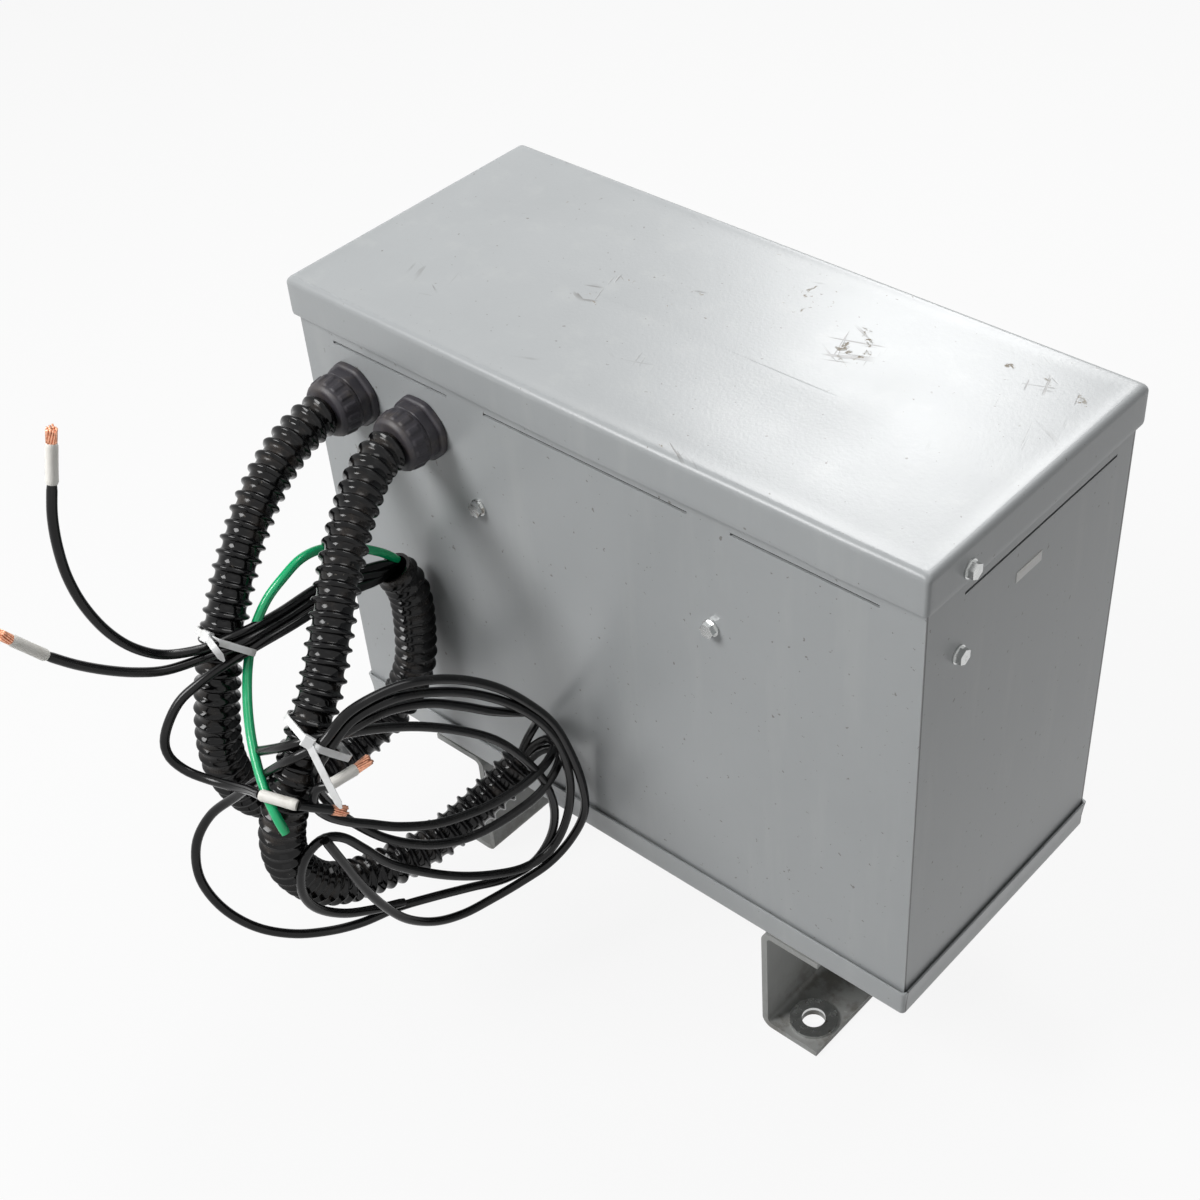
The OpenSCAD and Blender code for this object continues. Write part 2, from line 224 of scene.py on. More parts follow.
conduit_1_route = [
    (-0.210, -0.139, 0.410), (-0.209, -0.160, 0.408), (-0.204, -0.190, 0.399), (-0.196, -0.220, 0.383),
    (-0.188, -0.245, 0.363), (-0.181, -0.267, 0.338), (-0.176, -0.285, 0.309), (-0.174, -0.298, 0.273),
    (-0.175, -0.302, 0.240), (-0.177, -0.297, 0.210), (-0.183, -0.280, 0.174), (-0.190, -0.252, 0.149),
    (-0.193, -0.228, 0.141), (-0.193, -0.205, 0.140), (-0.190, -0.181, 0.145), (-0.183, -0.158, 0.158),
    (-0.175, -0.142, 0.178), (-0.169, -0.132, 0.204), (-0.168, -0.128, 0.231), (-0.166, -0.128, 0.255),
    (-0.166, -0.130, 0.275), (-0.169, -0.137, 0.295)]
conduit_2_route = [
    (-0.145, -0.139, 0.410), (-0.142, -0.158, 0.408), (-0.133, -0.180, 0.401), (-0.121, -0.205, 0.388),
    (-0.108, -0.228, 0.373), (-0.095, -0.251, 0.353), (-0.086, -0.270, 0.333), (-0.081, -0.290, 0.311),
    (-0.080, -0.307, 0.286), (-0.084, -0.320, 0.260), (-0.088, -0.326, 0.232), (-0.092, -0.322, 0.200),
    (-0.095, -0.304, 0.165), (-0.095, -0.281, 0.145), (-0.093, -0.256, 0.135), (-0.089, -0.230, 0.130),
    (-0.083, -0.203, 0.132), (-0.077, -0.176, 0.140), (-0.071, -0.152, 0.151), (-0.066, -0.133, 0.163)]
green_wire_route = [
    (-0.169, -0.132, 0.299), (-0.169, -0.145, 0.314), (-0.168, -0.170, 0.335), (-0.165, -0.195, 0.351),
    (-0.162, -0.215, 0.357), (-0.161, -0.232, 0.353), (-0.163, -0.247, 0.343), (-0.163, -0.262, 0.327),
    (-0.156, -0.277, 0.311), (-0.141, -0.293, 0.301), (-0.123, -0.308, 0.292), (-0.105, -0.320, 0.283),
    (-0.088, -0.329, 0.276), (-0.077, -0.333, 0.267), (-0.069, -0.334, 0.256)]
wire_a_route = [
    (-0.169, -0.135, 0.297), (-0.168, -0.150, 0.306), (-0.168, -0.174, 0.314), (-0.165, -0.205, 0.324),
    (-0.163, -0.239, 0.327), (-0.162, -0.264, 0.331), (-0.166, -0.283, 0.332), (-0.166, -0.302, 0.337),
    (-0.172, -0.324, 0.345), (-0.175, -0.341, 0.361), (-0.178, -0.353, 0.381), (-0.181, -0.361, 0.405),
    (-0.184, -0.364, 0.428), (-0.186, -0.363, 0.450), (-0.188, -0.359, 0.470), (-0.190, -0.352, 0.488)]
wire_b_route = [
    (-0.170, -0.138, 0.294), (-0.167, -0.149, 0.299), (-0.165, -0.164, 0.307), (-0.163, -0.180, 0.313),
    (-0.160, -0.212, 0.321), (-0.159, -0.240, 0.323), (-0.158, -0.267, 0.327), (-0.162, -0.285, 0.327),
    (-0.165, -0.305, 0.331), (-0.170, -0.327, 0.335), (-0.174, -0.345, 0.344), (-0.178, -0.362, 0.356),
    (-0.182, -0.378, 0.370), (-0.186, -0.392, 0.385)]
wire_c_route = [
    (-0.170, -0.141, 0.292), (-0.164, -0.158, 0.299), (-0.157, -0.183, 0.311), (-0.153, -0.215, 0.319),
    (-0.152, -0.243, 0.322), (-0.155, -0.268, 0.322), (-0.162, -0.287, 0.317), (-0.169, -0.307, 0.310),
    (-0.175, -0.323, 0.300), (-0.175, -0.338, 0.284), (-0.172, -0.342, 0.270), (-0.163, -0.338, 0.258),
    (-0.147, -0.331, 0.253), (-0.128, -0.327, 0.256), (-0.108, -0.328, 0.266), (-0.087, -0.334, 0.280)]
wire_d_route = [
    (-0.066, -0.133, 0.163), (-0.061, -0.124, 0.175), (-0.050, -0.119, 0.185), (-0.038, -0.125, 0.189),
    (-0.033, -0.142, 0.186), (-0.035, -0.164, 0.182), (-0.040, -0.188, 0.181), (-0.045, -0.211, 0.185),
    (-0.050, -0.233, 0.192), (-0.056, -0.257, 0.206), (-0.060, -0.276, 0.222), (-0.061, -0.290, 0.235),
    (-0.062, -0.304, 0.251), (-0.062, -0.312, 0.266), (-0.060, -0.314, 0.278), (-0.057, -0.311, 0.286),
    (-0.051, -0.307, 0.289)]
wire_e_route = [
    (-0.068, -0.133, 0.165), (-0.066, -0.124, 0.180), (-0.058, -0.120, 0.198), (-0.047, -0.125, 0.216),
    (-0.040, -0.138, 0.232), (-0.037, -0.158, 0.248), (-0.037, -0.180, 0.266), (-0.041, -0.201, 0.284),
    (-0.047, -0.224, 0.300), (-0.053, -0.251, 0.310), (-0.055, -0.278, 0.314), (-0.060, -0.298, 0.313),
    (-0.073, -0.315, 0.305), (-0.102, -0.320, 0.276), (-0.129, -0.326, 0.246), (-0.148, -0.338, 0.225),
    (-0.152, -0.352, 0.206), (-0.146, -0.360, 0.183), (-0.134, -0.357, 0.159), (-0.120, -0.345, 0.138),
    (-0.106, -0.327, 0.124), (-0.094, -0.306, 0.116), (-0.081, -0.286, 0.116), (-0.070, -0.262, 0.118),
    (-0.063, -0.237, 0.111), (-0.056, -0.206, 0.099), (-0.049, -0.179, 0.089), (-0.042, -0.156, 0.091),
    (-0.037, -0.141, 0.108), (-0.034, -0.136, 0.134), (-0.034, -0.141, 0.166), (-0.036, -0.155, 0.200),
    (-0.039, -0.176, 0.234), (-0.043, -0.202, 0.261), (-0.050, -0.231, 0.283), (-0.056, -0.259, 0.299),
    (-0.061, -0.282, 0.309), (-0.066, -0.301, 0.316), (-0.085, -0.312, 0.306), (-0.118, -0.312, 0.282)]
wire_f_route = [
    (-0.063, -0.133, 0.162), (-0.057, -0.123, 0.171), (-0.047, -0.117, 0.176), (-0.038, -0.121, 0.176),
    (-0.033, -0.133, 0.172), (-0.033, -0.148, 0.165), (-0.037, -0.163, 0.159), (-0.044, -0.188, 0.155),
    (-0.050, -0.213, 0.159), (-0.056, -0.238, 0.172), (-0.064, -0.262, 0.193), (-0.070, -0.281, 0.220),
    (-0.072, -0.294, 0.246), (-0.068, -0.304, 0.274), (-0.061, -0.306, 0.296), (-0.055, -0.297, 0.312),
    (-0.055, -0.275, 0.320), (-0.050, -0.247, 0.319), (-0.045, -0.220, 0.308), (-0.038, -0.193, 0.291),
    (-0.032, -0.166, 0.265), (-0.027, -0.144, 0.233), (-0.025, -0.131, 0.199), (-0.025, -0.126, 0.161),
    (-0.027, -0.132, 0.127), (-0.032, -0.146, 0.104), (-0.038, -0.167, 0.099), (-0.044, -0.192, 0.109),
    (-0.050, -0.218, 0.126), (-0.056, -0.243, 0.148), (-0.061, -0.267, 0.175), (-0.064, -0.283, 0.202),
    (-0.066, -0.295, 0.221), (-0.068, -0.308, 0.230), (-0.071, -0.320, 0.225), (-0.075, -0.327, 0.208),
    (-0.077, -0.328, 0.186), (-0.077, -0.320, 0.165), (-0.075, -0.302, 0.145), (-0.071, -0.280, 0.132),
    (-0.066, -0.258, 0.123)]
wire_g_route = [
    (-0.060, -0.308, 0.310), (-0.055, -0.298, 0.321), (-0.055, -0.277, 0.328), (-0.051, -0.248, 0.327),
    (-0.045, -0.224, 0.321), (-0.039, -0.199, 0.307), (-0.033, -0.175, 0.286), (-0.029, -0.154, 0.259),
    (-0.025, -0.136, 0.228), (-0.022, -0.125, 0.192), (-0.020, -0.119, 0.157), (-0.021, -0.119, 0.128),
    (-0.026, -0.130, 0.106), (-0.032, -0.149, 0.092), (-0.039, -0.173, 0.087), (-0.045, -0.197, 0.086),
    (-0.050, -0.221, 0.088), (-0.054, -0.244, 0.098), (-0.057, -0.265, 0.118), (-0.059, -0.280, 0.144),
    (-0.060, -0.292, 0.173), (-0.060, -0.303, 0.207), (-0.061, -0.312, 0.236)]


# ---------------------------------------------------------------- conduit connectors
# Dark nylon: a smooth collar flares to the wall, a plain body, and a ribbed nut that grips the conduit.
gland_points = [(-0.210, 0.410), (-0.145, 0.410)]
front_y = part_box("front_wall")[0].y


def turned(name, x, z, profile, ribs=None, corners=96):
    """Surface turned about an axis along -Y from the wall. The profile holds (reach, radius) pairs, and
    ribs(reach, angle) adds to the radius. The last ring closes the piece."""
    profile = np.array(profile)
    angle = np.linspace(0, 2 * math.pi, corners, endpoint=False)
    reach, turn = profile[:, 0][:, None] + 0 * angle[None], angle[None] + 0 * profile[:, 0][:, None]
    radius = profile[:, 1][:, None] + (ribs(reach, turn) if ribs else 0)
    rings = np.stack([x + radius * np.cos(turn), front_y - reach, z + radius * np.sin(turn)], axis=2)
    piece = grid_mesh(name + "_turned", rings)
    outward(piece, 38)
    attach(piece, "root")
    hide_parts(name)
    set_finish(piece, "dark_nylon")
    return piece


def collar_flats(reach, angle):
    """Eight shallow flats: the radius falls by up to 1.2 mm between the corners."""
    return -0.0012 * np.abs(np.cos(4 * angle)) ** 1.5 * np.clip(reach / 0.001, 0, 1)


def nut_ribs(reach, angle):
    """Sixteen short raised bars: 0.9 mm high, half a spacing wide, between 16 and 25 mm from the wall."""
    bar = np.clip(1.6 * np.cos(16 * angle) + 0.5, 0, 1)
    ends = np.clip((reach - 0.0150) / 0.0012, 0, 1) * np.clip((0.0252 - reach) / 0.0012, 0, 1)
    return 0.0009 * bar * ends


for number, (gland_x, gland_z) in enumerate(gland_points, start=1):
    collar = turned(f"collar_{number}", gland_x, gland_z, [
        (0.0, 0.0225), (0.0006, 0.0236), (0.0030, 0.0238), (0.0044, 0.0232), (0.0052, 0.0218)], collar_flats)
    body = turned(f"gland_body_{number}", gland_x, gland_z, [
        (0.0048, 0.0214), (0.0070, 0.0216), (0.0100, 0.0216), (0.0122, 0.0213), (0.0130, 0.0203)],
        collar_flats)
    nut_profile = [(0.0128, 0.0200), (0.0134, 0.0209)]
    nut_profile += [(reach, 0.0212 - (reach - 0.013) * 0.13) for reach in np.arange(0.0142, 0.0262, 0.0006)]
    nut_profile += [(0.0268, 0.0190), (0.0280, 0.0182), (0.0288, 0.0172), (0.0290, 0.0162)]
    nut = turned(f"gland_nut_{number}", gland_x, gland_z, nut_profile, nut_ribs, 192)


# ---------------------------------------------------------------- wire ends
# Off-white sleeves with frayed, bent copper strands past them.
def rod(name, start, end, radii, corners=20):
    """Straight round piece from start to end, its radius running through the list on the way."""
    start, end = np.array(start), np.array(end)
    stations = np.linspace(0, 1, len(radii))
    path = start + stations[:, None] * (end - start)
    side, over = side_vectors(path)
    angle = np.linspace(0, 2 * math.pi, corners, endpoint=False)
    ring = np.cos(angle)[None, :, None] * side[:, None] + np.sin(angle)[None, :, None] * over[:, None]
    return grid_mesh(name, path[:, None] + np.array(radii)[:, None, None] * ring)


def join(name, parts):
    """Several meshes as one piece."""
    points, faces = [], []
    for part in parts:
        first = len(points)
        points += [tuple(v.co) for v in part.data.vertices]
        faces += [[first + i for i in polygon.vertices] for polygon in part.data.polygons]
        bpy.data.objects.remove(part)
    mesh = bpy.data.meshes.new(name)
    mesh.from_pydata(points, [], faces)
    mesh.update()
    piece = bpy.data.objects.new(name, mesh)
    scene.collection.objects.link(piece)
    return piece


def sleeve_radii(radius):
    """A thin sleeve: square ends, very slightly waisted."""
    stations = np.linspace(0, 1, 15)
    radii = radius * (1 - 0.03 * np.sin(math.pi * stations))
    return [radius * 0.86] + radii.tolist() + [radius * 0.86]


sleeve_ends = {
    "sleeve_a": ((-0.190, -0.352, 0.488), (-0.191, -0.344, 0.512)),
    "sleeve_b": ((-0.186, -0.392, 0.385), (-0.190, -0.408, 0.407)),
    "sleeve_c": ((-0.087, -0.334, 0.280), (-0.062, -0.325, 0.279)),
    "sleeve_d": ((-0.051, -0.307, 0.289), (-0.048, -0.286, 0.289))}
sleeve_radius = 0.0039
sleeves = {name: rod(name, *ends, sleeve_radii(sleeve_radius)) for name, ends in sleeve_ends.items()}
for sleeve in sleeves.values():
    outward(sleeve, 50)
wire_c_end = rod("wire_c_past_sleeve", (-0.062, -0.325, 0.279), (-0.056, -0.305, 0.262),
                 [wire_diameter / 2] * 6)
outward(wire_c_end, 50)

copper_ends = {
    "copper_a": ((-0.191, -0.344, 0.512), (-0.191, -0.341, 0.521)),
    "copper_b": ((-0.190, -0.408, 0.407), (-0.192, -0.413, 0.414)),
    "copper_c": ((-0.056, -0.305, 0.262), (-0.054, -0.296, 0.255)),
    "copper_d": ((-0.048, -0.286, 0.289), (-0.046, -0.275, 0.291))}
strand_radius = 0.0007
strand_layers = [(0, 1), (0.0014, 6), (0.0027, 12)]


def strands(ends):
    """Nineteen strands in two twisted layers round a core; each end strays a little."""
    chance = np.random.default_rng(7)
    start, end = np.array(ends[0]), np.array(ends[1])
    way = (end - start) / np.linalg.norm(end - start)
    side = np.cross(way, (0.3, 0.2, 0.9))
    side /= np.linalg.norm(side)
    over = np.cross(way, side)
    parts = []
    for layer, count in strand_layers:
        for k in range(count):
            base = 2 * math.pi * k / count
            reach = np.linspace(-0.001, np.linalg.norm(end - start) * chance.uniform(0.82, 1.08), 7)
            turn = base + reach * 60
            spread = layer * (1 + 18 * reach * chance.uniform(0, 1.2))
            path = (start + reach[:, None] * way + (spread * np.cos(turn))[:, None] * side
                    + (spread * np.sin(turn))[:, None] * over)
            across, above = side_vectors(path)
            angle = np.linspace(0, 2 * math.pi, 8, endpoint=False)
            ring = (np.cos(angle)[None, :, None] * across[:, None]
                    + np.sin(angle)[None, :, None] * above[:, None])
            parts.append(grid_mesh("strand", path[:, None] + strand_radius * ring))
    return parts


coppers = {name: join(name, strands(ends)) for name, ends in copper_ends.items()}
for copper in coppers.values():
    outward(copper)


# ---------------------------------------------------------------- cable ties
# Natural nylon: a strap round the conduit and its wires, a square head, and a cut-off tail.
def cable_tie(name, place, along, toward, bundle, head, tail):
    """Strap on the outline round a bundle of circles (outwards, sideways, radius): in each direction the
    circle that reaches farthest gives the point. The head sits on it, and the tail runs through points."""
    place = np.array(place)
    along = np.array(along) / np.linalg.norm(along)
    out = np.array(toward) - np.dot(toward, along) * along
    out /= np.linalg.norm(out)
    side = np.cross(along, out)

    def point(u, v, w):
        return place + u * out + v * side + w * along

    angle = np.linspace(0, 2 * math.pi, 96, endpoint=False)
    flat = np.stack([np.cos(angle), np.sin(angle)], axis=1)
    bundle = np.array(bundle)
    reach = flat @ bundle[:, :2].T + bundle[:, 2]
    farthest = bundle[reach.argmax(axis=1)]
    support = farthest[:, :2] + farthest[:, 2:] * flat
    half_width, thick = 0.0023, 0.0013
    section = [(0, -half_width), (thick, -half_width), (thick, half_width), (0, half_width)]
    strap = np.array([[point(*(s + grow * f), w) for grow, w in section] for s, f in zip(support, flat)])
    strap = grid_mesh("strap", np.concatenate([strap, strap[:1]]), False, False)
    turn = math.radians(head[2])
    half = 0.0037
    corners = [(-half, -half), (half, -half), (half, half), (-half, half)]
    block = []
    for height, k in ((-0.0024, 0.9), (-0.0016, 1), (0.0020, 1), (0.0027, 0.86)):
        block.append([point(head[0] + height * math.cos(turn) - v * k * math.sin(turn),
                            head[1] + height * math.sin(turn) + v * k * math.cos(turn), w * k)
                      for v, w in corners])
    line, run = smooth([point(head[0] + 0.001, head[1], 0)] + tail, 0.002)
    way = np.gradient(line, axis=0)
    way /= np.linalg.norm(way, axis=1)[:, None]
    across = np.cross(way, out)
    across /= np.linalg.norm(across, axis=1)[:, None]
    above = np.cross(across, way)
    width = (0.0022 * np.clip((run[-1] - run) / 0.006 + 0.35, 0, 1))[:, None]
    strip = np.stack([line + width * across + 0.0006 * above, line - width * across + 0.0006 * above,
                      line - width * across - 0.0006 * above, line + width * across - 0.0006 * above], axis=1)
    piece = join("cable_" + name, [strap, grid_mesh("head", np.array(block)), grid_mesh("tail", strip)])
    outward(piece, 30)
    return piece


tie_1 = cable_tie("tie_1", (-0.179, -0.277, 0.322), (8, -69, -72), (68, -49, 55),
                  [(0, 0, 0.016), (0.019, 0.001, 0.0034), (0.016, -0.010, 0.0034), (0.013, -0.019, 0.0034),
                   (0.007, -0.019, 0.0034)], (0.017, 0.009, 50),
                  [(-0.155, -0.299, 0.344), (-0.148, -0.298, 0.334)])
tie_2 = cable_tie("tie_2", (-0.081, -0.291, 0.309), (13, 64, 62), (60, -62, 51),
                  [(0, 0, 0.016), (0.024, 0.003, 0.0032), (0.026, 0.010, 0.0034), (0.021, 0.017, 0.0034),
                   (0.012, 0.027, 0.0032)], (0.029, 0.0035, 5),
                  [(-0.043, -0.313, 0.306), (-0.029, -0.316, 0.290)])

small_pieces = [(sleeve, "wire_sleeves", "white_sleeve") for sleeve in sleeves.values()]
small_pieces += [(copper, "bare_copper", "copper") for copper in coppers.values()]
small_pieces += [(wire_c_end, "wire_c_end", "black_pvc")]
small_pieces += [(tie_1, "tie_1", "tie_nylon"), (tie_2, "tie_2", "tie_nylon")]
for piece, node, slot in small_pieces:
    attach(piece, "root")
    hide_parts(node)
    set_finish(piece, slot)


conduit("conduit_1", conduit_1_route)
conduit("conduit_2", conduit_2_route)
wire("wire_a", wire_a_route)
wire("wire_b", wire_b_route)
wire("wire_c", wire_c_route)
wire("wire_d", wire_d_route)
wire("wire_e", wire_e_route)
wire("wire_f", wire_f_route)
wire("wire_g", wire_g_route)
wire("green_wire", green_wire_route, "green_pvc")


# ---------------------------------------------------------------- lid
# A pressed cap with rolled top edges. Its front skirt bows out a little in the middle, as thin steel does.
def rounded_ring(half_x, half_y, corner, z, per_side=60, per_corner=8):
    """Points round a rectangle with round corners, anticlockwise from the front left."""
    points = []
    for cx, cy, first in ((1, -1, -90), (1, 1, 0), (-1, 1, 90), (-1, -1, 180)):
        centre = np.array([cx * (half_x - corner), cy * (half_y - corner)])
        angle = np.radians(first + np.linspace(0, 90, per_corner + 1))
        arc = centre + corner * np.stack([np.cos(angle), np.sin(angle)], axis=1)
        if points:
            points += [points[-1] + (arc[0] - points[-1]) * t for t in np.arange(1, per_side) / per_side]
        points += list(arc)
    points += [points[-1] + (points[0] - points[-1]) * t for t in np.arange(1, per_side) / per_side]
    points = np.array(points)
    return np.concatenate([points, np.full((len(points), 1), z)], axis=1)


lid_low, lid_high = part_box("lid")
half_x, half_y = lid_high.x, lid_high.y
roll = 0.005
sheet = 0.0015
skirt_levels = np.linspace(lid_low.z, lid_high.z - roll, 9)
bend = np.radians(np.linspace(0, 90, 11))
profile = [(sheet, lid_low.z + 0.004), (sheet, lid_low.z + 0.0004), (sheet * 0.7, lid_low.z)]
profile += [(0.0003, lid_low.z)] + [(0, z) for z in skirt_levels[1:] - 0.0008]
profile += [(roll * (1 - math.cos(b)), lid_high.z - roll + roll * math.sin(b)) for b in bend]
top_insets = (0.007, 0.009, 0.012, 0.018, 0.03, 0.045, 0.06, 0.08, 0.1, 0.108)
profile += [(inset, lid_high.z) for inset in top_insets]
lid_corner = 0.0032
rings = np.array([rounded_ring(half_x - inset, half_y - inset, lid_corner, z)
                  for inset, z in profile])
x, y, z = rings[..., 0], rings[..., 1], rings[..., 2]
front = np.clip((-y - half_y + 0.02) / 0.01, 0, 1)
low = np.clip((lid_high.z - z) / (lid_high.z - lid_low.z), 0, 1)
bow = 0.0024 * np.exp(-((x - 0.02) / 0.15) ** 2) + 0.0012 * np.exp(-((x - 0.2) / 0.03) ** 2)
rings[..., 1] -= bow * front * (0.35 + 0.65 * low)
inset = np.minimum(half_x - np.abs(x), half_y - np.abs(y))
top = np.clip((inset - 0.005) / 0.006, 0, 1)
sag = 0.0005 + 0.0016 * np.exp(-((x - 0.10) ** 2 / 0.006 + (y + 0.045) ** 2 / 0.0011))
sag += 0.0010 * np.exp(-((x + 0.02) ** 2 / 0.012 + (y - 0.02) ** 2 / 0.003))
sag -= 0.0009 * np.exp(-((x - 0.17) ** 2 / 0.002 + (y + 0.02) ** 2 / 0.004))
rings[..., 2] -= sag * top
lid = grid_mesh("lid_cap", rings, close_start=False)
outward(lid, 50)
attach(lid, "root")
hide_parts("lid")
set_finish(lid, "grey_paint")


# ---------------------------------------------------------------- tray
# The floor tray's lip stands a hair off the walls at its top, and shows a bright edge and a dark gap.
tray_low, tray_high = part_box("base_tray")
tray_profile = [(0.012, tray_low.z), (0.003, tray_low.z)]
tray_profile += [(0.003 * (1 - math.sin(b)), tray_low.z + 0.003 * (1 - math.cos(b))) for b in bend[::2]]
tray_profile += [(0, tray_low.z + 0.010), (-0.0006, tray_low.z + 0.018), (-0.0012, tray_high.z - 0.0005)]
tray_profile += [(-0.0008, tray_high.z), (0.0000, tray_high.z), (0.0004, tray_high.z - 0.0005)]
tray_profile += [(0.0010, tray_low.z + 0.010), (0.0016, tray_low.z + 0.002)]
tray_corner = 0.003
tray_rings = np.array([rounded_ring(tray_high.x - inset, tray_high.y - inset, tray_corner, z)
                       for inset, z in tray_profile])
tray = grid_mesh("tray", tray_rings)
outward(tray, 40)
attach(tray, "root")
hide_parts("base_tray")
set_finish(tray, "grey_paint")


# ---------------------------------------------------------------- materials
# Every finish is a node tree on Object coordinates, or on the piece's own attribute.
class Tree:
    """Small helper to write a material's nodes as one line each."""

    def __init__(self, tree):
        self.tree = tree

    def node(self, kind, inputs=None, **settings):
        node = self.tree.nodes.new(kind)
        for name, value in settings.items():
            setattr(node, name, value)
        for socket, value in (inputs or {}).items():
            if isinstance(value, bpy.types.NodeSocket):
                self.tree.links.new(value, node.inputs[socket])
            else:
                node.inputs[socket].default_value = value
        return node

    def noise(self, vector, scale, detail=4, roughness=0.55, distortion=0):
        return self.node("ShaderNodeTexNoise", {"Vector": vector, "Scale": scale, "Detail": detail,
                                                "Roughness": roughness, "Distortion": distortion}
                         ).outputs["Fac"]

    def ramp(self, value, low, high):
        """0 below low, 1 above high, smooth between."""
        node = self.node("ShaderNodeMapRange", {"Value": value, "From Min": low, "From Max": high},
                         interpolation_type="SMOOTHSTEP")
        return node.outputs["Result"]

    def math(self, operation, a, b=0.0, clamp=False):
        node = self.node("ShaderNodeMath", {0: a, 1: b}, operation=operation, use_clamp=clamp)
        return node.outputs[0]

    def mix(self, amount, a, b):
        node = self.node("ShaderNodeMix", data_type="RGBA")
        for socket, value in ((0, amount), (6, a), (7, b)):
            if isinstance(value, bpy.types.NodeSocket):
                self.tree.links.new(value, node.inputs[socket])
            else:
                node.inputs[socket].default_value = value
        return node.outputs[2]

    def mapped(self, vector, scale):
        return self.node("ShaderNodeMapping", {"Vector": vector, "Scale": scale}).outputs["Vector"]

    def bump(self, height, strength, distance):
        return self.node("ShaderNodeBump", {"Height": height, "Strength": strength, "Distance": distance}
                         ).outputs["Normal"]


def new_material(name, roughness, metallic=0.0, specular=0.5):
    """A material with its Tree, its main shader, and the Object coordinates."""
    material = bpy.data.materials.new(name)
    material.use_nodes = True
    tree = Tree(material.node_tree)
    shader = material.node_tree.nodes["Principled BSDF"]
    shader.inputs["Roughness"].default_value = roughness
    shader.inputs["Metallic"].default_value = metallic
    shader.inputs["Specular IOR Level"].default_value = specular
    place = tree.node("ShaderNodeTexCoord").outputs["Object"]
    return material, tree, shader, place


def connect(tree, output, shader, socket):
    tree.tree.links.new(output, shader.inputs[socket])


# Where the lid's top is scratched and chipped: [x, y, reach of the wear]
top_level = lid_high.z
worn_places = [
    (-0.074, 0.014, 0.016), (-0.080, -0.009, 0.020), (0.035, 0.072, 0.030), (0.091, 0.041, 0.040),
    (-0.024, 0.035, 0.018), (0.206, 0.075, 0.016), (0.236, 0.076, 0.014), (0.181, 0.082, 0.012),
    (0.069, -0.112, 0.014)]


